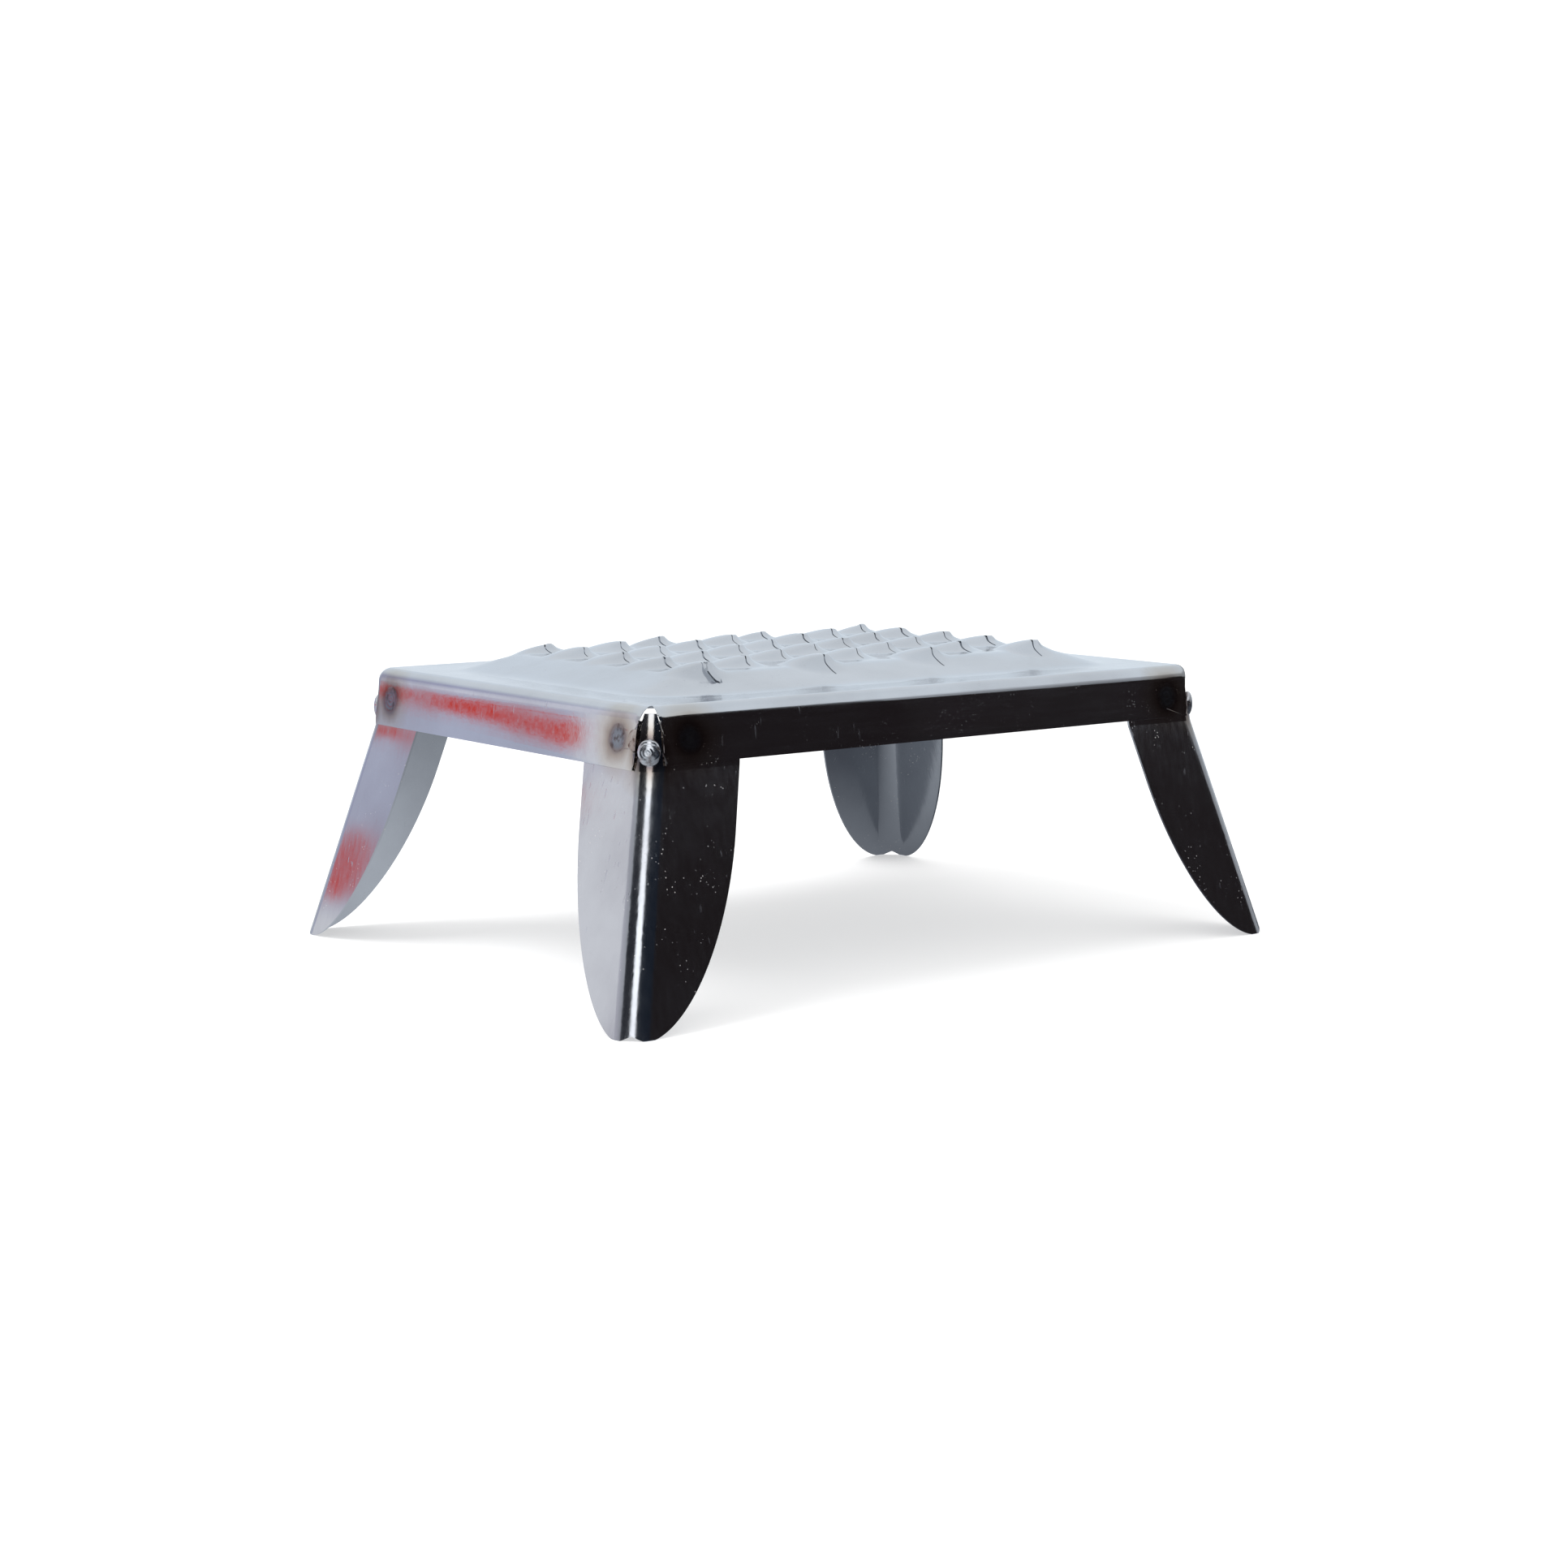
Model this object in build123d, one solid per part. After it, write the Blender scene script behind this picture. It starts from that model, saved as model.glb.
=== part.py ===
from build123d import *
import os
from math import atan, cos, degrees, radians, sin, sqrt, tan

# Spirit stove stand: a pierced sheet-steel top on four folded sheet legs.
# Millimetres, +Z up, ground at z = 0, long way of the plate along X.

# the one gauge of sheet used for every part
SHEET = 0.5

# top plate, measured over the lower edge of its turned-down skirt
PLATE_LENGTH = 150.0
PLATE_WIDTH = 111.0
RIM_HEIGHT = 60.0
SHORT_SKIRT_DROP = 12.2
LONG_SKIRT_DROP = 11.1
SKIRT_FLARE = 7.5
BEND_RADIUS = 3.0
PLATE_CORNER_RADIUS = 5.5

# raised field in the middle of the plate
FIELD_RISE = 3.3
FIELD_FOOT_MARGIN = 12.0
FIELD_CREST_MARGIN = 24.0
FIELD_FOOT_RADIUS = 17.0
FIELD_CREST_RADIUS = 9.0

# grater-like teeth punched up through the field, in staggered columns
TOOTH_COLUMNS = 7
TOOTH_COLUMN_STEP = 14.9
TOOTH_ROW_STEP = 15.3
FULL_COLUMN_TEETH = 5
TOOTH_PATTERN_SHIFT = 3.0
TOOTH_RISE = 2.1
TOOTH_DOME_RADIUS = 9.0
TOOTH_DOME_DEPTH = 4.0
SLIT_LENGTH = 7.6
SLIT_WIDTH = 1.2

# arched notch cut through each corner of the skirt
NOTCH_HALF_WIDTH = 3.5
NOTCH_WAIST_HALF_WIDTH = 2.7
NOTCH_WAIST_HEIGHT = 53.0
NOTCH_SHOULDER_HALF_WIDTH = 2.05
NOTCH_SHOULDER_HEIGHT = 57.2
NOTCH_TOP_HEIGHT = 60.0
NOTCH_DEPTH = 6.3

# legs: an L of sheet with a rounded ridge and petal-shaped wings
LEG_RIDGE_RADIUS = 5.0
LEG_WING_WIDTH = 21.8
LEG_TOP_HEIGHT = 58.6
WING_TOP_HEIGHT = 57.2
TONGUE_FOOT_HALF_WIDTH = 1.6
TONGUE_TIP_HALF_WIDTH = 1.15
LEG_CRANK_HEIGHT = 47.7
PETAL_SHOULDER_HEIGHT = 36.0
PETAL_HALF_WIDTH = 18.3
PETAL_OVERRUN = 0.3
PETAL_STATIONS = 14
FOOT_RIDGE_LIFT = 1.0
FOOT_TIP_START = 3.2

# the legs on one diagonal are bent out a little further than the other two
LEG_SPLAY = {"near": 16.4, "left": 13.8, "right": 13.8, "far": 16.4}
CORNERS = {"near": (-1, -1), "left": (-1, 1), "right": (1, -1), "far": (1, 1)}

# spot welds through skirt and wing, and the bead on each ridge
SPOT_RADIUS = 2.8
SPOT_INSET = 10.7
SPOT_HEIGHT = 53.6
EXTRA_SPOT_RADIUS = 2.1
EXTRA_SPOT_INSET = 5.2
BEAD_HALF_WIDTH = 2.3
BEAD_HALF_DEPTH = 1.1
BEAD_HALF_HEIGHT = 2.7
BEAD_HEIGHT = 51.3

CUT_MARGIN = 5.0

flareSlope = tan(radians(SKIRT_FLARE))
wallAcross = SHEET / cos(radians(SKIRT_FLARE))
skirtBottom = RIM_HEIGHT - SHORT_SKIRT_DROP
longSkirtBottom = RIM_HEIGHT - LONG_SKIRT_DROP
fieldTop = RIM_HEIGHT + FIELD_RISE
toothTop = fieldTop + TOOTH_RISE


def skirt_face(half_size, height):
    """Distance of the skirt's outer face from the middle at a height."""
    return half_size - flareSlope * (height - skirtBottom)


def tapered_block(inset, top, bend):
    """Rounded block with flared sides and a rounded top edge."""
    outline = RectangleRounded(
        PLATE_LENGTH - 2 * inset,
        PLATE_WIDTH - 2 * inset,
        PLATE_CORNER_RADIUS - inset,
    )
    height = top - skirtBottom
    block = extrude(Pos(0, 0, skirtBottom) * outline, height, taper=SKIRT_FLARE)
    rim_edges = block.faces().sort_by(Axis.Z)[-1].edges()
    return fillet(rim_edges, bend)


def field_block(drop):
    """Raised field as a solid with sloping sides, lowered by drop."""
    foot = RectangleRounded(
        PLATE_LENGTH - 2 * FIELD_FOOT_MARGIN,
        PLATE_WIDTH - 2 * FIELD_FOOT_MARGIN,
        FIELD_FOOT_RADIUS,
    )
    crest = RectangleRounded(
        PLATE_LENGTH - 2 * FIELD_CREST_MARGIN,
        PLATE_WIDTH - 2 * FIELD_CREST_MARGIN,
        FIELD_CREST_RADIUS,
    )
    foot_level = RIM_HEIGHT - drop - SHEET / 2
    sections = [Pos(0, 0, foot_level) * foot, Pos(0, 0, fieldTop - drop) * crest]
    return loft(sections, ruled=True)


def tooth_points():
    """Plan positions of the teeth: long and short columns in turn."""
    points = []
    for column in range(TOOTH_COLUMNS):
        from_middle = column - (TOOTH_COLUMNS - 1) / 2
        x = TOOTH_PATTERN_SHIFT + from_middle * TOOTH_COLUMN_STEP
        count = FULL_COLUMN_TEETH - column % 2
        for row in range(count):
            points.append((x, (row - (count - 1) / 2) * TOOTH_ROW_STEP))
    return points


def dome(radius, top):
    """Cap of a ball, deep enough to reach the field's sloping edge."""
    ball = Pos(0, 0, top - radius) * Sphere(radius)
    size = 2 * radius
    keep = Pos(0, 0, top - TOOTH_DOME_DEPTH + radius) * Box(size, size, size)
    return ball & keep


def corner_view(corner, depth):
    """Plane across one corner's diagonal, that far in from the sharp corner."""
    sx, sy = corner
    outward = Vector(sx, sy, 0).normalized()
    start = Vector(sx * PLATE_LENGTH / 2, sy * PLATE_WIDTH / 2, 0) - outward * depth
    across = Vector(-outward.Y, outward.X, 0)
    return Plane(origin=start, x_dir=across, z_dir=outward)


def notch_cutter(corner):
    """Arched prism that opens the skirt along one corner's diagonal."""
    below = skirtBottom - CUT_MARGIN
    side = [
        (NOTCH_HALF_WIDTH, skirtBottom),
        (NOTCH_WAIST_HALF_WIDTH, NOTCH_WAIST_HEIGHT),
        (NOTCH_SHOULDER_HALF_WIDTH, NOTCH_SHOULDER_HEIGHT),
    ]
    other_side = [(-across, height) for across, height in reversed(side)]
    arch = make_face(
        Spline(*side, (0, NOTCH_TOP_HEIGHT), *other_side)
        + Polyline(
            (-NOTCH_HALF_WIDTH, skirtBottom),
            (-NOTCH_HALF_WIDTH, below),
            (NOTCH_HALF_WIDTH, below),
            (NOTCH_HALF_WIDTH, skirtBottom),
        )
    )
    return extrude(corner_view(corner, NOTCH_DEPTH) * arch, NOTCH_DEPTH + CUT_MARGIN)


def leg_region(corner, height):
    """Outer virtual corner of a leg at the given height, in plan."""
    sx, sy = corner
    x = skirt_face(PLATE_LENGTH / 2, height) - wallAcross
    y = skirt_face(PLATE_WIDTH / 2, height) - wallAcross
    return Vector(sx * x, sy * y, height)


def leg_profile(corner, height, filled):
    """Horizontal section of a leg: an L of sheet, or the whole quarter."""
    sx, sy = corner
    reach = LEG_WING_WIDTH
    radius = LEG_RIDGE_RADIUS
    outer = make_face(
        Polyline((reach, 0), (radius, 0))
        + ThreePointArc(
            (radius, 0),
            (radius - radius * cos(radians(45)), radius - radius * sin(radians(45))),
            (0, radius),
        )
        + Polyline((0, radius), (0, reach), (reach, reach), (reach, 0))
    )
    section = outer
    if not filled:
        inner_radius = radius - wallAcross
        hollow = make_face(
            Polyline((reach + 1, wallAcross), (radius, wallAcross))
            + ThreePointArc(
                (radius, wallAcross),
                (radius - inner_radius * cos(radians(45)), radius - inner_radius * sin(radians(45))),
                (wallAcross, radius),
            )
            + Polyline(
                (wallAcross, radius),
                (wallAcross, reach + 1),
                (reach + 1, reach + 1),
                (reach + 1, wallAcross),
            )
        )
        section = outer - hollow
    if sx > 0:
        section = mirror(section, Plane.YZ)
    if sy > 0:
        section = mirror(section, Plane.XZ)
    origin = leg_region(corner, height)
    return Pos(origin.X, origin.Y, origin.Z) * section


def leg_bar(name, filled=False):
    """Untrimmed leg: flared part inside the skirt, splayed part below it."""
    corner = CORNERS[name]
    sx, sy = corner
    crank = leg_profile(corner, LEG_CRANK_HEIGHT, filled)
    rise = LEG_TOP_HEIGHT - LEG_CRANK_HEIGHT
    upper_dir = Vector(-sx * flareSlope, -sy * flareSlope, 1)
    upper = extrude(crank, rise * upper_dir.length, dir=upper_dir.normalized())
    splay = tan(radians(LEG_SPLAY[name]))
    lower_dir = Vector(sx * splay, sy * splay, -1)
    drop = LEG_CRANK_HEIGHT
    lower = extrude(crank, drop * lower_dir.length, dir=lower_dir.normalized())
    return upper + lower


def petal_edge(height):
    """Distance of the free edge from the ridge corner at a height."""
    if height >= PETAL_SHOULDER_HEIGHT:
        return PETAL_HALF_WIDTH
    below = (PETAL_SHOULDER_HEIGHT - height) / (PETAL_SHOULDER_HEIGHT + PETAL_OVERRUN)
    return PETAL_HALF_WIDTH * sqrt(1 - below * below)


def petal_outline(name, half_size):
    """Side view of one wing: (distance out from the middle, height)."""
    splay = tan(radians(LEG_SPLAY[name]))
    ridge_at_crank = skirt_face(half_size, LEG_CRANK_HEIGHT) - wallAcross
    foot_base = LEG_WING_WIDTH - PETAL_HALF_WIDTH

    def ridge(height):
        return ridge_at_crank + splay * (LEG_CRANK_HEIGHT - height)

    curve = []
    for i in range(PETAL_STATIONS):
        angle = radians(90) * i / (PETAL_STATIONS - 1)
        height = PETAL_SHOULDER_HEIGHT * (1 - sin(angle)) if i < PETAL_STATIONS - 1 else 0.0
        curve.append((ridge(height) - foot_base - petal_edge(height), height))
    top = LEG_TOP_HEIGHT + 1
    shoulder = curve[0]
    tip = curve[-1]
    outside = ridge(0) + CUT_MARGIN
    lines = Polyline(
        tip,
        (outside, 0),
        (outside, top),
        (shoulder[0] - CUT_MARGIN * 4, top),
        (shoulder[0] - CUT_MARGIN * 4, LEG_CRANK_HEIGHT),
        (shoulder[0] + splay * (PETAL_SHOULDER_HEIGHT - LEG_CRANK_HEIGHT), LEG_CRANK_HEIGHT),
        shoulder,
    )
    return make_face(lines + Spline(curve))


def foot_relief(corner):
    """Wedge under the ridge, so that a foot stands on its wing tips."""
    half_width = FOOT_TIP_START / sqrt(2)
    wedge = make_face(
        Polyline((-half_width, 0), (0, FOOT_RIDGE_LIFT), (half_width, 0), (-half_width, 0))
    )
    sx, sy = corner
    outward = Vector(sx, sy, 0).normalized()
    foot = leg_region(corner, LEG_CRANK_HEIGHT)
    start = Vector(foot.X, foot.Y, 0)
    across = Vector(-outward.Y, outward.X, 0)
    view = Plane(origin=start, x_dir=across, z_dir=outward)
    return extrude(view * wedge, LEG_CRANK_HEIGHT)


def tongue_relief(corner):
    """Cuts a leg's top down to its wings, each side of the ridge's tongue."""
    above = LEG_TOP_HEIGHT + CUT_MARGIN
    side = make_face(
        Polyline(
            (TONGUE_FOOT_HALF_WIDTH, WING_TOP_HEIGHT),
            (LEG_WING_WIDTH, WING_TOP_HEIGHT),
            (LEG_WING_WIDTH, above),
            (TONGUE_TIP_HALF_WIDTH, above),
            (TONGUE_TIP_HALF_WIDTH, LEG_TOP_HEIGHT),
            (TONGUE_FOOT_HALF_WIDTH, WING_TOP_HEIGHT),
        )
    )
    both_sides = side + mirror(side, Plane.YZ)
    return extrude(corner_view(corner, LEG_WING_WIDTH) * both_sides, LEG_WING_WIDTH)


def leg(name):
    """One finished leg: the folded bar trimmed to its petal outline."""
    sx, sy = CORNERS[name]
    depth = PLATE_LENGTH
    along_x = petal_outline(name, PLATE_LENGTH / 2)
    along_y = petal_outline(name, PLATE_WIDTH / 2)
    view_x = Plane(origin=(0, depth, 0), x_dir=(sx, 0, 0), z_dir=(0, -sx, 0))
    view_y = Plane(origin=(-depth, 0, 0), x_dir=(0, sy, 0), z_dir=(sy, 0, 0))
    trim_x = extrude(view_x * along_x, depth, both=True)
    trim_y = extrude(view_y * along_y, depth, both=True)
    trim_x = Pos(0, -depth, 0) * trim_x
    trim_y = Pos(depth, 0, 0) * trim_y
    trimmed = leg_bar(name) & trim_x & trim_y
    return trimmed - foot_relief(CORNERS[name]) - tongue_relief(CORNERS[name])


def spot(corner, on_short_side, inset, radius):
    """Round weld nugget through the skirt and the wing behind it."""
    sx, sy = corner
    face_x = skirt_face(PLATE_LENGTH / 2, SPOT_HEIGHT)
    face_y = skirt_face(PLATE_WIDTH / 2, SPOT_HEIGHT)
    tilt_out = cos(radians(SKIRT_FLARE))
    tilt_up = sin(radians(SKIRT_FLARE))
    if on_short_side:
        surface = Vector(sx * face_x, sy * (PLATE_WIDTH / 2 - inset), SPOT_HEIGHT)
        normal = Vector(sx * tilt_out, 0, tilt_up)
    else:
        surface = Vector(sx * (PLATE_LENGTH / 2 - inset), sy * face_y, SPOT_HEIGHT)
        normal = Vector(0, sy * tilt_out, tilt_up)
    seat = Plane(origin=surface, z_dir=-normal)
    return extrude(seat * Circle(radius), 2 * SHEET)


def ridge_bead(name):
    """Lens of weld metal on the ridge where it shows in the notch."""
    sx, sy = CORNERS[name]
    corner = leg_region(CORNERS[name], BEAD_HEIGHT)
    inset = LEG_RIDGE_RADIUS * (1 - cos(radians(45)))
    ball = scale(Sphere(1), by=(BEAD_HALF_DEPTH, BEAD_HALF_WIDTH, BEAD_HALF_HEIGHT))
    turned = Rot(0, 0, degrees(atan(sy / sx))) * ball
    placed = Pos(corner.X - sx * inset, corner.Y - sy * inset, BEAD_HEIGHT) * turned
    return placed - leg_bar(name, filled=True)


def top_plate():
    """Rim, skirt, raised field and teeth, all of one sheet."""
    outside = tapered_block(0, RIM_HEIGHT, BEND_RADIUS) + field_block(0)
    inside = tapered_block(wallAcross, RIM_HEIGHT - SHEET, BEND_RADIUS - SHEET) + field_block(SHEET)
    slit = Pos(0, -SLIT_LENGTH / 2, fieldTop) * extrude(
        Ellipse(SLIT_WIDTH / 2, SLIT_LENGTH / 2), 2 * TOOTH_RISE, both=True
    )
    spots = [Pos(x, y, 0) for x, y in tooth_points()]
    outer_dome = dome(TOOTH_DOME_RADIUS, toothTop)
    inner_dome = dome(TOOTH_DOME_RADIUS - SHEET, toothTop - SHEET)
    outside = outside + [place * outer_dome for place in spots]
    inside = inside + [place * inner_dome for place in spots]
    plate = outside - inside
    plate = plate - [place * slit for place in spots]
    plate = plate - [notch_cutter(corner) for corner in CORNERS.values()]
    # the long skirts stop a little short of the short ones
    trim = Box(PLATE_LENGTH - 2 * BEND_RADIUS, 2 * PLATE_WIDTH, LONG_SKIRT_DROP)
    return plate - Pos(0, 0, longSkirtBottom - LONG_SKIRT_DROP / 2) * trim


def build():
    os.makedirs("parts", exist_ok=True)
    parts = {}
    plate = top_plate()
    cutters = [notch_cutter(corner) for corner in CORNERS.values()]
    for name, corner in CORNERS.items():
        welds = {
            "spot_weld_" + name + "_short_side": spot(corner, True, SPOT_INSET, SPOT_RADIUS),
            "spot_weld_" + name + "_long_side": spot(corner, False, SPOT_INSET, SPOT_RADIUS),
        }
        if name == "near":
            extra = spot(corner, True, EXTRA_SPOT_INSET, EXTRA_SPOT_RADIUS)
            welds["spot_weld_near_notch"] = extra - cutters
        this_leg = leg(name)
        for weld in welds.values():
            plate = plate - weld
            this_leg = this_leg - weld
        parts["leg_" + name] = this_leg
        parts.update(welds)
        parts["ridge_weld_" + name] = ridge_bead(name)
    parts["top_plate"] = plate
    for name, shape in parts.items():
        shape.label = name
        export_step(shape, "parts/" + name + ".step")
        box = shape.bounding_box()
        print(name, len(shape.solids()), "solid", round(shape.volume, 1), "mm3", box.min, box.max)


build()
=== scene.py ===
import math
import random

import bpy
from mathutils import Matrix, Vector


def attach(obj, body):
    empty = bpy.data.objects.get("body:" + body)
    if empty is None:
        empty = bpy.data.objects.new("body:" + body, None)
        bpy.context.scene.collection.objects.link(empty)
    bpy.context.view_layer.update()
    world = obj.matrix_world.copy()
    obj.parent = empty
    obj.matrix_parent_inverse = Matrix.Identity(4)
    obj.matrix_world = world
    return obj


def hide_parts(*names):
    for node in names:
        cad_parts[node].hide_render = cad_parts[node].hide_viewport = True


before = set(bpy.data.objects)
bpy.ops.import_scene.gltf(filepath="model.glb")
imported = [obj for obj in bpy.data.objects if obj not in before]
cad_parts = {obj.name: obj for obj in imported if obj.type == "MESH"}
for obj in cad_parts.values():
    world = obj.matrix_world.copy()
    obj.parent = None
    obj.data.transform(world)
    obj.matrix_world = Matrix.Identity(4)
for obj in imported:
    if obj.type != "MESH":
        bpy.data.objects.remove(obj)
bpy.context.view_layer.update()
mm = 0.001
mergeGap = 1e-6    # corners this near are one corner
alignedGap = 1e-5  # an edge whose ends differ less than this runs straight


def pick(obj):
    bpy.ops.object.select_all(action="DESELECT")
    obj.select_set(True)
    bpy.context.view_layer.objects.active = obj


def editMesh(selectMode="VERT"):
    bpy.ops.object.mode_set(mode="EDIT")
    bpy.ops.mesh.select_mode(type=selectMode)


def objectMode():
    bpy.ops.object.mode_set(mode="OBJECT")


def clearPicks(mesh):
    for items in (mesh.vertices, mesh.edges, mesh.polygons):
        items.foreach_set("select", [False] * len(items))


def pickInside(items, spot, halfSides):  # what lies over a centred rectangle
    picked = []
    for item in items:
        place = spot(item)
        picked.append(abs(place.x) < halfSides[0] and abs(place.y) < halfSides[1])
    items.foreach_set("select", picked)


def pickVertsInside(mesh, halfSides):
    clearPicks(mesh)
    pickInside(mesh.vertices, lambda vertex: vertex.co, halfSides)


def pickFacesInside(mesh, halfSides):
    clearPicks(mesh)
    pickInside(mesh.polygons, lambda face: face.center, halfSides)


def applyModifiers(obj):
    pick(obj)
    for mod in list(obj.modifiers):
        bpy.ops.object.modifier_apply(modifier=mod.name)


def copyOfNode(name, newName):  # a CAD node's mesh, its loose triangles merged
    sheet = bpy.data.objects.new(newName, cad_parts[name].data.copy())
    bpy.context.scene.collection.objects.link(sheet)
    pick(sheet)
    editMesh()
    bpy.ops.mesh.select_all(action="SELECT")
    bpy.ops.mesh.remove_doubles(threshold=mergeGap)
    objectMode()
    return sheet


# the pierced field: its place on the plate, its teeth and their torn slits
field = {
    "plate": (150.0 * mm, 110.7 * mm),
    "rimHeight": 60.0 * mm,
    "sheet": 0.5 * mm,
    "seamMargin": 11.0 * mm,  # where the field meets the flat rim
    "cells": (208, 144),
    "footMargin": 12.0 * mm,  # the slope starts here and ends at the crest
    "crestMargin": 24.0 * mm,
    "rise": 3.3 * mm,
    "smoothMargin": 11.6 * mm,  # what lies inside this is eased
    "smoothing": 0.5,
    "smoothPasses": 14,
    "columns": 7,
    "rows": 5,  # every other column has one fewer
    "columnStep": 14.9 * mm,
    "rowStep": 15.3 * mm,
    "shift": 3.0 * mm,
    "baseShift": (-2.5 * mm, 1.9 * mm),  # undoes what the lean adds
    "wobble": 0.5 * mm,
    "toothRise": 2.25 * mm,
    "riseRange": (0.86, 1.0),
    "toothReach": 8.2 * mm,
    "reachRange": (0.92, 1.05),
    "lean": (1.5 * mm, -1.1 * mm),
    "leanReach": 5.2 * mm,
    "slitLength": (5.2 * mm, 7.6 * mm),
    "slitHalfWidths": (0.10 * mm, 0.15 * mm, 0.22 * mm),
    "gapingTooth": (-41.7 * mm, -30.6 * mm),
    "gapingHalfWidth": 1.0 * mm,
    "lipRise": 0.55 * mm,
    "lipRange": (0.7, 1.1),
    "lipReach": 1.9 * mm,
    "lipShift": (1.0 * mm, 1.2 * mm),
    "lipLean": 0.8,  # share of the lean that a lip follows
    "topLimit": 65.35 * mm,
    "smoothAngle": 38,
    "seed": 11,
}


def halfInside(s, margin):
    return [side / 2 - margin for side in s["plate"]]


def toothPlaces(s):
    places = []
    for column in range(s["columns"]):
        rows = s["rows"] - column % 2
        x = s["shift"] + (column - (s["columns"] - 1) / 2) * s["columnStep"]
        for row in range(rows):
            y = (row - (rows - 1) / 2) * s["rowStep"]
            places.append((x + s["baseShift"][0], y + s["baseShift"][1]))
    return places


def raiseAround(point, move, reach):
    mesh = bpy.context.object.data
    near = min(mesh.vertices, key=lambda v: (v.co.xy - Vector(point)).length_squared)
    clearPicks(mesh)
    near.select = True
    editMesh()
    bpy.ops.transform.translate(
        value=move,
        use_proportional_edit=True,
        proportional_edit_falloff="SMOOTH",
        proportional_size=reach,
    )
    objectMode()


def makeField(s):
    length, width = (side - 2 * s["seamMargin"] for side in s["plate"])
    bpy.ops.object.select_all(action="DESELECT")
    bpy.ops.mesh.primitive_grid_add(
        x_subdivisions=s["cells"][0],
        y_subdivisions=s["cells"][1],
        size=1,
        location=(0, 0, s["rimHeight"]),
    )
    sheet = bpy.context.object
    sheet.name = "pierced_field"
    sheet.scale = (length, width, 1)
    bpy.ops.object.transform_apply(location=True, rotation=False, scale=True)

    pickVertsInside(sheet.data, halfInside(s, s["crestMargin"]))
    editMesh()
    bpy.ops.transform.translate(
        value=(0, 0, s["rise"]),
        use_proportional_edit=True,
        proportional_edit_falloff="LINEAR",
        proportional_size=s["crestMargin"] - s["footMargin"],
    )
    objectMode()
    pickVertsInside(sheet.data, halfInside(s, s["smoothMargin"]))
    editMesh()
    for _ in range(s["smoothPasses"]):
        bpy.ops.mesh.vertices_smooth(factor=s["smoothing"], repeat=1)
    objectMode()
    print("field raised")
    return sheet


def planSlits(s, places):  # each slit's line, its two ends and its half width
    dice = random.Random(s["seed"] + 1)
    length = s["plate"][0] - 2 * s["seamMargin"]
    cell = length / s["cells"][0]
    gaping = min(places, key=lambda place: math.dist(place, s["gapingTooth"]))
    slits = []
    for x, y in places:
        column = round((x + length / 2) / cell)
        if (x, y) == gaping:
            reach, half = s["slitLength"][1], s["gapingHalfWidth"]
        else:
            reach = dice.uniform(*s["slitLength"])
            half = dice.choice(s["slitHalfWidths"])
        slits.append((column * cell - length / 2, y, y - reach, half))
    return slits


def cutSlits(sheet, s, slits):  # a spread edge run is a slit with pointed ends
    mesh = sheet.data
    onLine = (s["plate"][0] - 2 * s["seamMargin"]) / s["cells"][0] / 3
    for half in sorted({slit[3] for slit in slits}):
        runs = [slit for slit in slits if slit[3] == half]
        clearPicks(mesh)
        for edge in mesh.edges:
            a, b = (mesh.vertices[i].co for i in edge.vertices)
            if abs(a.x - b.x) > alignedGap:
                continue
            middle = (a.y + b.y) / 2
            edge.select = any(
                abs(a.x - x) < onLine and foot < middle < top
                for x, top, foot, _ in runs
            )
        editMesh("EDGE")
        bpy.ops.mesh.bevel(offset=half, segments=1, affect="EDGES")
        bpy.ops.mesh.delete(type="FACE")
        objectMode()
    print("slits cut:", len(slits))


def levelTops(sheet, s):
    for v in sheet.data.vertices:
        v.co.z = min(v.co.z, s["topLimit"])


def pressTeeth(sheet, s, places, slits):
    dice = random.Random(s["seed"])
    pick(sheet)
    for x, y in places:
        wobble = [dice.uniform(-1, 1) * s["wobble"] for _ in range(2)]
        rise = s["toothRise"] * dice.uniform(*s["riseRange"])
        peak = (x + wobble[0], y + wobble[1])
        reach = s["toothReach"] * dice.uniform(*s["reachRange"])
        raiseAround(peak, (0, 0, rise), reach)
        raiseAround(peak, (*s["lean"], 0), s["leanReach"])
    for x, top, foot, _ in slits:
        lip = (
            x + s["lean"][0] * s["lipLean"] + s["lipShift"][0],
            (top + foot) / 2 + s["lipShift"][1],
        )
        rise = s["lipRise"] * dice.uniform(*s["lipRange"])
        raiseAround(lip, (0, 0, rise), s["lipReach"])
    levelTops(sheet, s)
    print("teeth pressed")


def thicken(sheet, s):
    wall = sheet.modifiers.new("sheet", "SOLIDIFY")
    wall.thickness = s["sheet"]
    wall.offset = -1
    applyModifiers(sheet)
    levelTops(sheet, s)  # where a leaning tooth turned its wall upward


def keepRim(s):  # the CAD rim and skirt, with the middle cut out for the field
    rim = copyOfNode("top_plate", "top_plate_sheet")
    halfSeam = halfInside(s, s["seamMargin"])
    editMesh()
    for axis in (0, 1):
        for side in (-1, 1):
            place, normal = Vector((0, 0, 0)), Vector((0, 0, 0))
            place[axis] = side * halfSeam[axis]
            normal[axis] = 1
            bpy.ops.mesh.select_all(action="SELECT")
            bpy.ops.mesh.bisect(plane_co=place, plane_no=normal)
    objectMode()
    pickFacesInside(rim.data, halfSeam)
    editMesh("FACE")
    bpy.ops.mesh.delete(type="FACE")
    objectMode()
    print("rim and skirt kept:", len(rim.data.polygons), "faces")
    return rim


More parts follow.
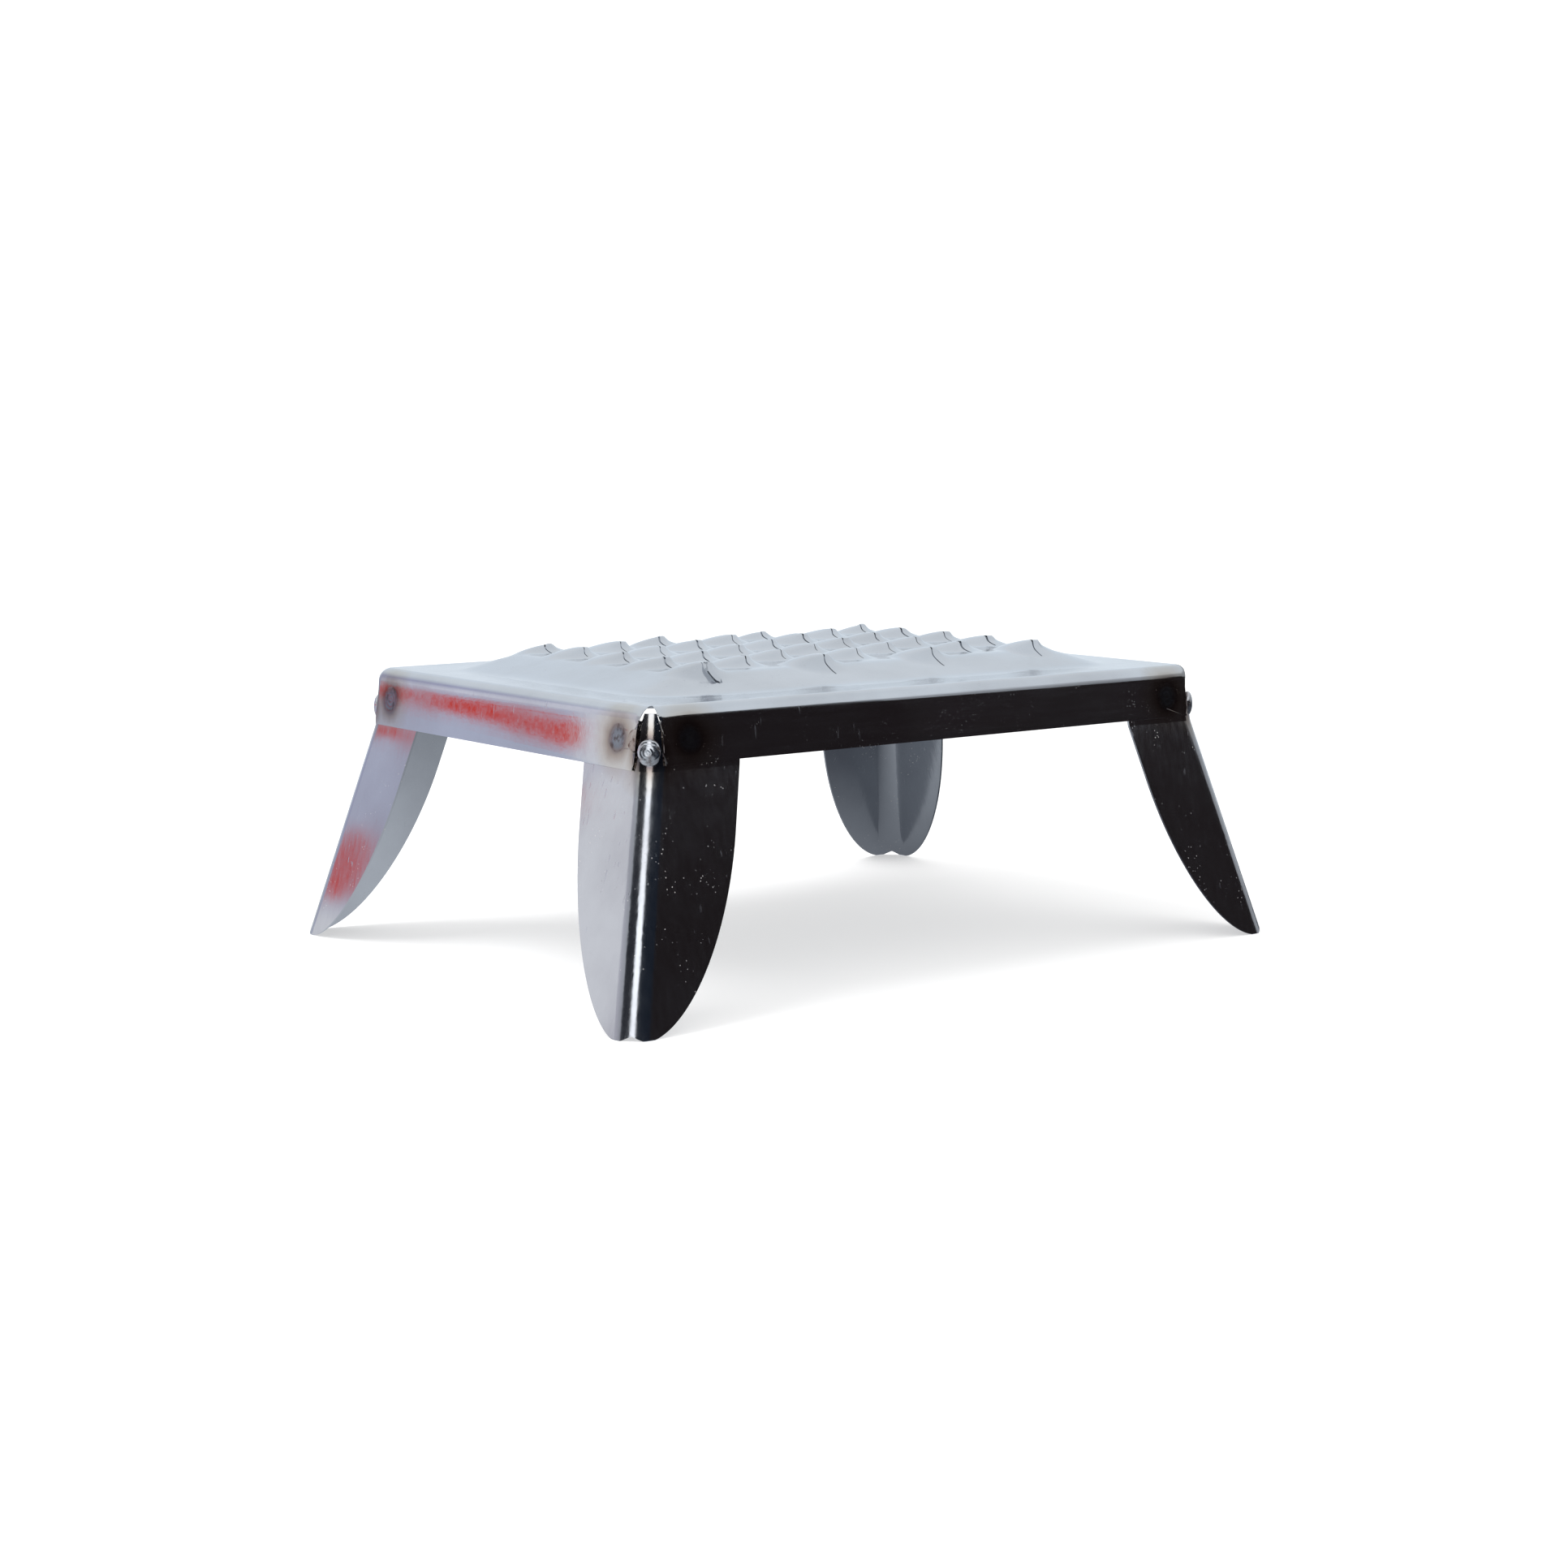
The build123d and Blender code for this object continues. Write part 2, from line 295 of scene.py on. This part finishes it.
def makeTopPlate(s):
    sheet = makeField(s)
    places = toothPlaces(s)
    slits = planSlits(s, places)
    cutSlits(sheet, s, slits)
    pressTeeth(sheet, s, places, slits)
    thicken(sheet, s)
    rim = keepRim(s)
    for piece in (rim, sheet):
        pick(piece)
        bpy.ops.object.shade_smooth_by_angle(angle=math.radians(s["smoothAngle"]))
        applyModifiers(piece)
    flats = rim.modifiers.new("flats", "WEIGHTED_NORMAL")
    flats.keep_sharp = True
    applyModifiers(rim)
    pick(rim)
    sheet.select_set(True)
    bpy.ops.object.join()
    return rim


def newMaterial(name):
    material = bpy.data.materials.new(name)
    material.use_nodes = True
    tree = material.node_tree
    tree.nodes.clear()
    return material, tree


def fillSocket(tree, socket, value):
    if isinstance(value, bpy.types.NodeSocket):
        tree.links.new(value, socket)
    else:
        socket.default_value = value


def addNode(tree, kind, values=(), **settings):
    node = tree.nodes.new(kind)
    for name, value in settings.items():
        setattr(node, name, value)
    for socket, value in values:
        fillSocket(tree, node.inputs[socket], value)
    return node


def objectPlace(tree):
    return addNode(tree, "ShaderNodeTexCoord").outputs["Object"]


def noise(tree, place, scale, detail=4, rough=0.55):
    return addNode(tree, "ShaderNodeTexNoise", (
        ("Vector", place),
        ("Scale", scale),
        ("Detail", detail),
        ("Roughness", rough),
    )).outputs["Fac"]


def stretch(tree, place, scale, turn=(0, 0, 0)):
    return addNode(tree, "ShaderNodeMapping", (
        ("Vector", place),
        ("Rotation", [math.radians(angle) for angle in turn]),
        ("Scale", scale),
    )).outputs["Vector"]


def span(tree, value, low, high, toLow=0.0, toHigh=1.0):
    return addNode(tree, "ShaderNodeMapRange", (
        ("Value", value),
        ("From Min", low),
        ("From Max", high),
        ("To Min", toLow),
        ("To Max", toHigh),
    )).outputs["Result"]


def blend(tree, factor, a, b, mode="MIX"):
    node = addNode(tree, "ShaderNodeMix", (), data_type="RGBA", blend_type=mode)
    colourSockets = (0, 6, 7)  # factor, first colour, second colour
    for socket, value in zip(colourSockets, (factor, a, b)):
        fillSocket(tree, node.inputs[socket], value)
    return node.outputs[2]


def maths(tree, operation, a, b=0.0):
    values = ((0, a), (1, b))
    return addNode(tree, "ShaderNodeMath", values, operation=operation).outputs[0]


def vectors(tree, operation, values, output):
    return addNode(
        tree, "ShaderNodeVectorMath", values, operation=operation
    ).outputs[output]


def axesOf(tree, place):
    return addNode(tree, "ShaderNodeSeparateXYZ", ((0, place),)).outputs


def ramp(tree, value, stops):
    node = addNode(tree, "ShaderNodeValToRGB", (("Fac", value),))
    elements = node.color_ramp.elements
    while len(elements) < len(stops):
        elements.new(0.5)
    for element, (at, colour) in zip(elements, stops):
        element.position = at
        element.color = (*colour, 1)
    return node.outputs["Color"]


def bump(tree, height, strength, distance, under=None, sunk=False):
    values = [("Height", height), ("Strength", strength), ("Distance", distance)]
    if under is not None:
        values.append(("Normal", under))
    return addNode(tree, "ShaderNodeBump", values, invert=sunk).outputs[0]


def metalOutput(tree, colour, metallic, rough, normal):
    shader = addNode(tree, "ShaderNodeBsdfPrincipled", (
        ("Base Color", colour),
        ("Metallic", metallic),
        ("Roughness", rough),
        ("Normal", normal),
    ))
    addNode(tree, "ShaderNodeOutputMaterial", (("Surface", shader.outputs[0]),))


# heat tint round each weld, as colour against distance from its middle
weldPlaces = {
    "shortSideSpot": (74.3 * mm, 44.8 * mm, 53.6 * mm),
    "longSideSpot": (64.3 * mm, 54.7 * mm, 53.6 * mm),
    "ridgeBead": (72.6 * mm, 53.1 * mm, 51.3 * mm),
}
tint = {
    "reach": 9.0 * mm,
    "wander": 1.6 * mm,
    "wanderNoise": (260, 2),
    "stops": (
        (0.00, (0.42, 0.50, 0.56)),
        (0.20, (0.30, 0.34, 0.40)),
        (0.31, (0.36, 0.29, 0.27)),
        (0.42, (0.62, 0.52, 0.44)),
        (0.62, (0.90, 0.84, 0.76)),
        (1.00, (1.00, 1.00, 1.00)),
    ),
}


def weldDistance(tree, place):  # from the nearest weld, wandering a little
    wander = maths(tree, "SUBTRACT", noise(tree, place, *tint["wanderNoise"]), 0.5)
    wander = maths(tree, "MULTIPLY", wander, tint["wander"])
    mirrored = vectors(tree, "ABSOLUTE", ((0, place),), 0)  # one corner for all four
    nearest = None
    for spot in weldPlaces.values():
        gap = vectors(tree, "DISTANCE", ((0, mirrored), (1, spot)), "Value")
        nearest = gap if nearest is None else maths(tree, "MINIMUM", nearest, gap)
    return maths(tree, "ADD", nearest, wander)


def heatTint(tree, place):
    share = span(tree, weldDistance(tree, place), 0, tint["reach"])
    return ramp(tree, share, tint["stops"])


# a noise is its scale, then its detail and its roughness where they are given;
# edges are the two noise values between which a mark fades in
bareSheet = {
    "cloudNoise": (38, 5),
    "cloudEdges": (0.35, 0.7),
    "cloudRoughEdges": (0.3, 0.75),
    "grainNoise": (1, 3, 0.6),
    "grainEdges": (0.3, 0.7),
    "grainRough": (-0.03, 0.03),
    "grainHeight": 0.2 * mm,
    "dentNoise": (70, 2),
    "dentDepth": 0.05,
    "dentHeight": 1 * mm,
    "speckNoise": (1500, 2, 0.7),
    "speckEdges": (0.68, 0.76),
    "patchNoise": (120, 4),
    "patchEdges": (0.45, 0.7),
    "speckRough": 0.2,
    "scratchStretch": (1300, 1300, 18),
    "scratchNoises": ((1, 0), (1.3, 0)),
    "scratchEdges": (0.78, 0.82),
    "breakNoises": ((55, 3), (85, 3)),
    "breakEdges": (0.52, 0.6),
    "scratchRough": 0.18,
    "scratchHeight": 0.1 * mm,
    "dustEdges": (0.16, 0.10),
    "driftNoise": (160, 3),
    "driftEdges": (0.52, 0.66),
    "dustColour": (0.42, 0.40, 0.38),
}
plateFinish = {
    **bareSheet,
    "colour": (0.60, 0.63, 0.67),
    "cloud": (0.52, 0.54, 0.57),
    "stain": (0.34, 0.30, 0.28),
    "roughness": (0.10, 0.19),
    "grain": (60, 900, 900),
    "grainDepth": 0.04,
    "scratchDepth": 0.08,
    "scratchTurns": ((0, 80, 12), (85, 0, 40)),
    "specks": 0.5,
    "dustScale": 1500,
    "dust": 0.3,
}
legFinish = {
    **bareSheet,
    "colour": (0.58, 0.60, 0.63),
    "cloud": (0.48, 0.49, 0.52),
    "stain": (0.30, 0.26, 0.24),
    "roughness": (0.11, 0.22),
    "grain": (900, 900, 45),
    "grainDepth": 0.06,
    "scratchDepth": 0.12,
    "scratchTurns": ((8, 5, 0), (35, 20, 0)),
    "specks": 0.6,
    "dustScale": 1100,
    "dust": 0.85,
}


def speckMask(tree, place, s):
    specks = span(tree, noise(tree, place, *s["speckNoise"]), *s["speckEdges"])
    patches = span(tree, noise(tree, place, *s["patchNoise"]), *s["patchEdges"])
    return maths(tree, "MULTIPLY", maths(tree, "MULTIPLY", specks, patches), s["specks"])


def scratchMask(tree, place, s):
    scratches = None
    kinds = zip(s["scratchTurns"], s["scratchNoises"], s["breakNoises"])
    for turn, lineNoise, breakNoise in kinds:
        drawn = stretch(tree, place, s["scratchStretch"], turn)
        fine = span(tree, noise(tree, drawn, *lineNoise), *s["scratchEdges"])
        broken = span(tree, noise(tree, place, *breakNoise), *s["breakEdges"])
        cut = maths(tree, "MULTIPLY", fine, broken)
        scratches = cut if scratches is None else maths(tree, "MAXIMUM", scratches, cut)
    return scratches


def dustMask(tree, place, s):
    grit = addNode(tree, "ShaderNodeTexVoronoi", (
        ("Vector", place),
        ("Scale", s["dustScale"]),
    )).outputs["Distance"]
    drift = span(tree, noise(tree, place, *s["driftNoise"]), *s["driftEdges"])
    dust = maths(tree, "MULTIPLY", span(tree, grit, *s["dustEdges"]), drift)
    return maths(tree, "MULTIPLY", dust, s["dust"])


def steel(name, s):
    material, tree = newMaterial(name)
    place = objectPlace(tree)
    clouds = noise(tree, place, *s["cloudNoise"])
    grain = noise(tree, stretch(tree, place, s["grain"]), *s["grainNoise"])
    dents = noise(tree, place, *s["dentNoise"])
    specks = speckMask(tree, place, s)
    scratches = scratchMask(tree, place, s)
    dust = dustMask(tree, place, s)

    cloudy = span(tree, clouds, *s["cloudEdges"])
    colour = blend(tree, cloudy, (*s["colour"], 1), (*s["cloud"], 1))
    colour = blend(tree, specks, colour, (*s["stain"], 1))
    colour = blend(tree, 1.0, colour, heatTint(tree, place), "MULTIPLY")
    colour = blend(tree, dust, colour, (*s["dustColour"], 1))
    bare = maths(tree, "SUBTRACT", 1.0, dust)

    rough = span(tree, clouds, *s["cloudRoughEdges"], *s["roughness"])
    for added in (
        span(tree, grain, *s["grainEdges"], *s["grainRough"]),
        maths(tree, "MULTIPLY", scratches, s["scratchRough"]),
        maths(tree, "MULTIPLY", specks, s["speckRough"]),
    ):
        rough = maths(tree, "ADD", rough, added)

    soft = bump(tree, dents, s["dentDepth"], s["dentHeight"])
    brushed = bump(tree, grain, s["grainDepth"], s["grainHeight"], soft)
    scored = bump(
        tree, scratches, s["scratchDepth"], s["scratchHeight"], brushed, sunk=True)
    metalOutput(tree, colour, bare, rough, scored)
    return material


weldSkin = {
    "swirlNoise": (700, 4),
    "swirlPush": 3.0,
    "burntEdges": (0.5, 0.68),
    "roughEdges": (0.3, 0.7),
    "rippleHeight": 0.05 * mm,
}
spotFinish = {
    **weldSkin,
    "colour": (0.50, 0.50, 0.51),
    "burnt": (0.20, 0.16, 0.15),
    "tintShare": 0.9,
    "roughness": (0.12, 0.26),
    "rippleStep": 0.9 * mm,
    "rippleDepth": 0.12,
}
beadFinish = {
    **weldSkin,
    "colour": (0.72, 0.73, 0.75),
    "burnt": (0.34, 0.30, 0.29),
    "tintShare": 0.3,
    "roughness": (0.16, 0.34),
    "rippleStep": 0.62 * mm,
    "rippleDepth": 0.6,
}


def weldMetal(name, s):
    material, tree = newMaterial(name)
    place = objectPlace(tree)
    swirl = noise(tree, place, *s["swirlNoise"])
    away = weldDistance(tree, place)
    waves = maths(tree, "MULTIPLY", away, math.tau / s["rippleStep"])
    waves = maths(tree, "ADD", waves, maths(tree, "MULTIPLY", swirl, s["swirlPush"]))
    burnt = span(tree, swirl, *s["burntEdges"])
    colour = blend(tree, burnt, (*s["colour"], 1), (*s["burnt"], 1))
    colour = blend(tree, s["tintShare"], colour, heatTint(tree, place), "MULTIPLY")
    rough = span(tree, swirl, *s["roughEdges"], *s["roughness"])
    ripple = maths(tree, "SINE", waves)
    rippled = bump(tree, ripple, s["rippleDepth"], s["rippleHeight"])
    metalOutput(tree, colour, 1.0, rough, rippled)
    return material


def finishWith(obj, material):
    obj.data.materials.clear()
    obj.data.materials.append(material)


topPlate = makeTopPlate(field)
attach(topPlate, "root")
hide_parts("top_plate")
finishWith(topPlate, steel("plateSteel", plateFinish))

cadFinishes = {  # what each kind of CAD node is finished with
    "leg_": steel("legSteel", legFinish),
    "spot_weld": weldMetal("spotWeld", spotFinish),
    "ridge_weld": weldMetal("beadWeld", beadFinish),
}
for name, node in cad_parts.items():
    for kind, material in cadFinishes.items():
        if name.startswith(kind):
            node.material_slots[0].material = material
print("finishes on")


# the studio round it: what the bare metal reflects, unseen by the camera itself
studio = {
    "roundSides": 96,
    "tentRadius": 0.8,
    "tentHeight": 1.0,
    "overhead": (0.86, 0.90, 0.94),
    "lid": (0.84, 0.88, 0.92),
    "fadeBand": 0.16,
    "fadeFrom": 0.36,
    "azimuths": (  # degrees from the x axis, and the cloth's colour there
        (0, (0.44, 0.46, 0.49)),
        (12, (0.62, 0.68, 0.74)),
        (28, (0.80, 0.88, 0.95)),
        (85, (0.80, 0.87, 0.95)),
        (108, (0.46, 0.48, 0.64)),
        (119, (0.50, 0.50, 0.66)),
        (123.5, (0.86, 0.84, 0.93)),
        (148, (0.60, 0.60, 0.66)),
        (175, (0.42, 0.44, 0.47)),
        (200, (0.60, 0.62, 0.65)),
        (209, (1.50, 1.53, 1.57)),
        (228, (1.50, 1.53, 1.57)),
        (240, (0.60, 0.62, 0.65)),
        (270, (0.40, 0.41, 0.43)),
        (330, (0.36, 0.37, 0.39)),
        (360, (0.44, 0.46, 0.49)),
    ),
    "floorSize": 14.0,
    "paper": (0.50, 0.50, 0.50),
    "paperLift": 0.50,
    "shadeLift": 0.1 * mm,
    "shadeTurn": (0, 0, 37),
    "shadeEnds": (-70 * mm, 60 * mm),
    "openShade": (0.62, 0.66, 0.71),
    "darkShade": (0.09, 0.10, 0.12),
    "flags": (  # upright cards: turn in degrees, middle and size in mm, colour
        ("flag_right", 0, (85, -165, 46), (510, 92), (0.019, 0.015, 0.016)),
        ("flag_wing", 0, (20, -163, 62), (120, 124), (0.015, 0.011, 0.012)),
        ("flag_near", 0, (-95, -164, 75), (130, 150), (0.008, 0.013, 0.024)),
        ("flag_left", 90, (-185, -68, 67), (76, 134), (0.030, 0.032, 0.040)),
        ("light_strip", -52, (-393, -305, 400), (150, 540), (1.75, 1.78, 1.82)),
    ),
    "worldStrength": 1.25,
    "keySize": 0.9,
    "keyPlace": (-0.75, 0.25, 1.25),
    "keyWatts": 14,
}
# the card beside the short side: pale near the corner, cool beyond, warm in marks
sideCard = {
    "middle": (-120 * mm, 65 * mm, 31 * mm),
    "size": (62 * mm, 170 * mm, 1),
    "pale": (0.92, 0.92, 0.96),
    "cool": (0.58, 0.60, 0.74),
    "warm": (0.78, 0.04, 0.015),
    "paleToCool": (34 * mm, 42 * mm),
    "paleFoot": (14 * mm, 7 * mm),
    "waverNoise": (45, 2),
    "waver": 3 * mm,
    "bandEnds": (38 * mm, 125 * mm),
    "bandHeights": (54.8 * mm, 58.2 * mm),
    "bandHalfWidths": (2.9 * mm, 1.5 * mm),
    "bandEdge": (0.5 * mm, -0.5 * mm),
    "bandStart": (37 * mm, 39 * mm),
    "patchMiddle": (-120 * mm, 121 * mm, 22 * mm),
    "patchEdge": (11 * mm, 8 * mm),
}


def hideButReflect(obj):
    obj.visible_camera = False
    obj.visible_diffuse = False
    obj.visible_shadow = False
    obj.visible_transmission = False
    obj.visible_volume_scatter = False


def glowWith(obj, name, makeColour):  # a cloth that only reflections see
    material, tree = newMaterial(name)
    glow = addNode(tree, "ShaderNodeEmission", (
        ("Color", makeColour(tree)),
        ("Strength", 1.0),
    ))
    addNode(tree, "ShaderNodeOutputMaterial", (("Surface", glow.outputs[0]),))
    finishWith(obj, material)
    hideButReflect(obj)


def makeFloor(s):
    bpy.ops.object.select_all(action="DESELECT")
    bpy.ops.mesh.primitive_plane_add(size=s["floorSize"], location=(0, 0, 0))
    floor = bpy.context.object
    floor.name = "floor"
    floor.visible_glossy = False
    material, tree = newMaterial("palePaper")
    paper = addNode(tree, "ShaderNodeBsdfDiffuse", (("Color", (*s["paper"], 1)),))
    lift = addNode(tree, "ShaderNodeEmission", (("Strength", s["paperLift"]),))
    both = addNode(tree, "ShaderNodeAddShader", (
        (0, paper.outputs[0]),
        (1, lift.outputs[0]),
    ))
    addNode(tree, "ShaderNodeOutputMaterial", (("Surface", both.outputs[0]),))
    finishWith(floor, material)
    return floor


def makeTent(s):
    def clothColour(tree):
        axes = axesOf(tree, objectPlace(tree))
        turn = maths(tree, "ARCTAN2", axes["Y"], axes["X"])
        turn = maths(tree, "ADD", maths(tree, "DIVIDE", turn, math.tau), 1.0)
        stops = [(angle / 360, colour) for angle, colour in s["azimuths"]]
        around = ramp(tree, maths(tree, "FRACT", turn), stops)
        fadeTo = s["fadeFrom"] + s["fadeBand"]
        upper = span(tree, axes["Z"], s["fadeFrom"], fadeTo)
        return blend(tree, upper, around, (*s["overhead"], 1))

    bpy.ops.mesh.primitive_cylinder_add(
        vertices=s["roundSides"],
        radius=s["tentRadius"],
        depth=s["tentHeight"],
        end_fill_type="NOTHING",
        location=(0, 0, s["tentHeight"] / 2),
    )
    tent = bpy.context.object
    tent.name = "tent"
    bpy.ops.object.transform_apply(location=True, rotation=False, scale=False)
    glowWith(tent, "tentCloth", clothColour)
    return tent


def makeDisc(name, s, height):
    bpy.ops.mesh.primitive_circle_add(
        vertices=s["roundSides"],
        radius=s["tentRadius"],
        fill_type="NGON",
        location=(0, 0, height),
    )
    disc = bpy.context.object
    disc.name = name
    bpy.ops.object.transform_apply(location=True, rotation=False, scale=False)
    return disc


def makeLid(s):
    lid = makeDisc("tent_lid", s, s["tentHeight"])
    glowWith(lid, "lidCloth", lambda tree: (*s["lid"], 1))
    return lid


def makeFloorShade(s):  # stands for the floor in reflections, darker to the far side
    def shadeColour(tree):
        turned = stretch(tree, objectPlace(tree), (1, 1, 1), s["shadeTurn"])
        far = span(tree, axesOf(tree, turned)["X"], *s["shadeEnds"])
        return blend(tree, far, (*s["openShade"], 1), (*s["darkShade"], 1))

    shade = makeDisc("floor_shade", s, s["shadeLift"])
    glowWith(shade, "floorShade", shadeColour)
    return shade


def makeCard(name, middle, size, turn):
    bpy.ops.mesh.primitive_plane_add(size=1, location=middle, rotation=turn)
    card = bpy.context.object
    card.name = name
    card.scale = size
    bpy.ops.object.transform_apply(location=True, rotation=True, scale=True)
    return card


def makeFlags(s):
    flags = []
    for name, turn, middle, size, colour in s["flags"]:
        place = [side * mm for side in middle]
        scale = (size[0] * mm, size[1] * mm, 1)
        upright = (math.pi / 2, 0, math.radians(turn))
        flag = makeCard(name, place, scale, upright)
        glowWith(flag, name + "Cloth", lambda tree: (*colour, 1))
        flags.append(flag)
    return flags


def makeSideCard(s):
    def cardColour(tree):
        place = objectPlace(tree)
        axes = axesOf(tree, place)
        waver = maths(tree, "SUBTRACT", noise(tree, place, *s["waverNoise"]), 0.5)
        waver = maths(tree, "MULTIPLY", waver, s["waver"])

        line = span(tree, axes["Y"], *s["bandEnds"], *s["bandHeights"])
        half = span(tree, axes["Y"], *s["bandEnds"], *s["bandHalfWidths"])
        off = maths(tree, "ADD", maths(tree, "SUBTRACT", axes["Z"], line), waver)
        off = maths(tree, "SUBTRACT", maths(tree, "ABSOLUTE", off), half)
        started = span(tree, axes["Y"], *s["bandStart"])
        inBand = maths(tree, "MULTIPLY", span(tree, off, *s["bandEdge"]), started)

        gap = vectors(tree, "DISTANCE", ((0, place), (1, s["patchMiddle"])), "Value")
        inPatch = span(tree, maths(tree, "ADD", gap, waver), *s["patchEdge"])

        cool = span(tree, axes["Y"], *s["paleToCool"])
        ground = blend(tree, cool, (*s["pale"], 1), (*s["cool"], 1))
        low = span(tree, axes["Z"], *s["paleFoot"])
        ground = blend(tree, low, ground, (*s["pale"], 1))
        warm = maths(tree, "MAXIMUM", inBand, inPatch)
        return blend(tree, warm, ground, (*s["warm"], 1))

    card = makeCard("side_card", s["middle"], s["size"], (0, math.pi / 2, 0))
    glowWith(card, "sideCard", cardColour)
    return card


def makeWorld(s):
    world = bpy.data.worlds.new("studioAir")
    bpy.context.scene.world = world
    world.use_nodes = True
    backdrop = world.node_tree.nodes["Background"]
    backdrop.inputs["Color"].default_value = (1, 1, 1, 1)
    backdrop.inputs["Strength"].default_value = s["worldStrength"]


def makeKey(s):
    light = bpy.data.lights.new("key", "AREA")
    light.shape = "DISK"
    light.size = s["keySize"]
    light.energy = s["keyWatts"]
    key = bpy.data.objects.new("key", light)
    key.location = s["keyPlace"]
    key.rotation_euler = Vector(s["keyPlace"]).to_track_quat("Z", "Y").to_euler()
    key.visible_glossy = False
    bpy.context.scene.collection.objects.link(key)


camera = {
    "place": (-348.76 * mm, -459.29 * mm, 112.61 * mm),
    "yaw": 52.8045,  # degrees
    "down": 7.8108,
    "roll": -0.1098,
    "lens": 59.81,
    "sensor": 36.0,
    "nearest": 0.01,
}


def makeCamera(s):
    yaw, down, roll = (math.radians(s[name]) for name in ("yaw", "down", "roll"))
    level = math.cos(down)
    ahead = Vector((math.cos(yaw) * level, math.sin(yaw) * level, -math.sin(down)))
    right = Vector((math.sin(yaw), -math.cos(yaw), 0))
    up = right.cross(ahead)
    across = right * math.cos(roll) + up * math.sin(roll)
    above = up * math.cos(roll) - right * math.sin(roll)
    data = bpy.data.cameras.new("camera")
    data.lens = s["lens"]
    data.sensor_width = s["sensor"]
    data.clip_start = s["nearest"]
    eye = bpy.data.objects.new("camera", data)
    bpy.context.scene.collection.objects.link(eye)
    turned = Matrix((across, above, -ahead)).transposed().to_4x4()
    eye.matrix_world = Matrix.Translation(s["place"]) @ turned
    bpy.context.scene.camera = eye


floor, tent, lid = makeFloor(studio), makeTent(studio), makeLid(studio)
shade, flags = makeFloorShade(studio), makeFlags(studio)
card = makeSideCard(sideCard)
makeWorld(studio)
makeKey(studio)
makeCamera(camera)
bpy.context.scene.view_settings.view_transform = "Standard"
print("studio and camera set")
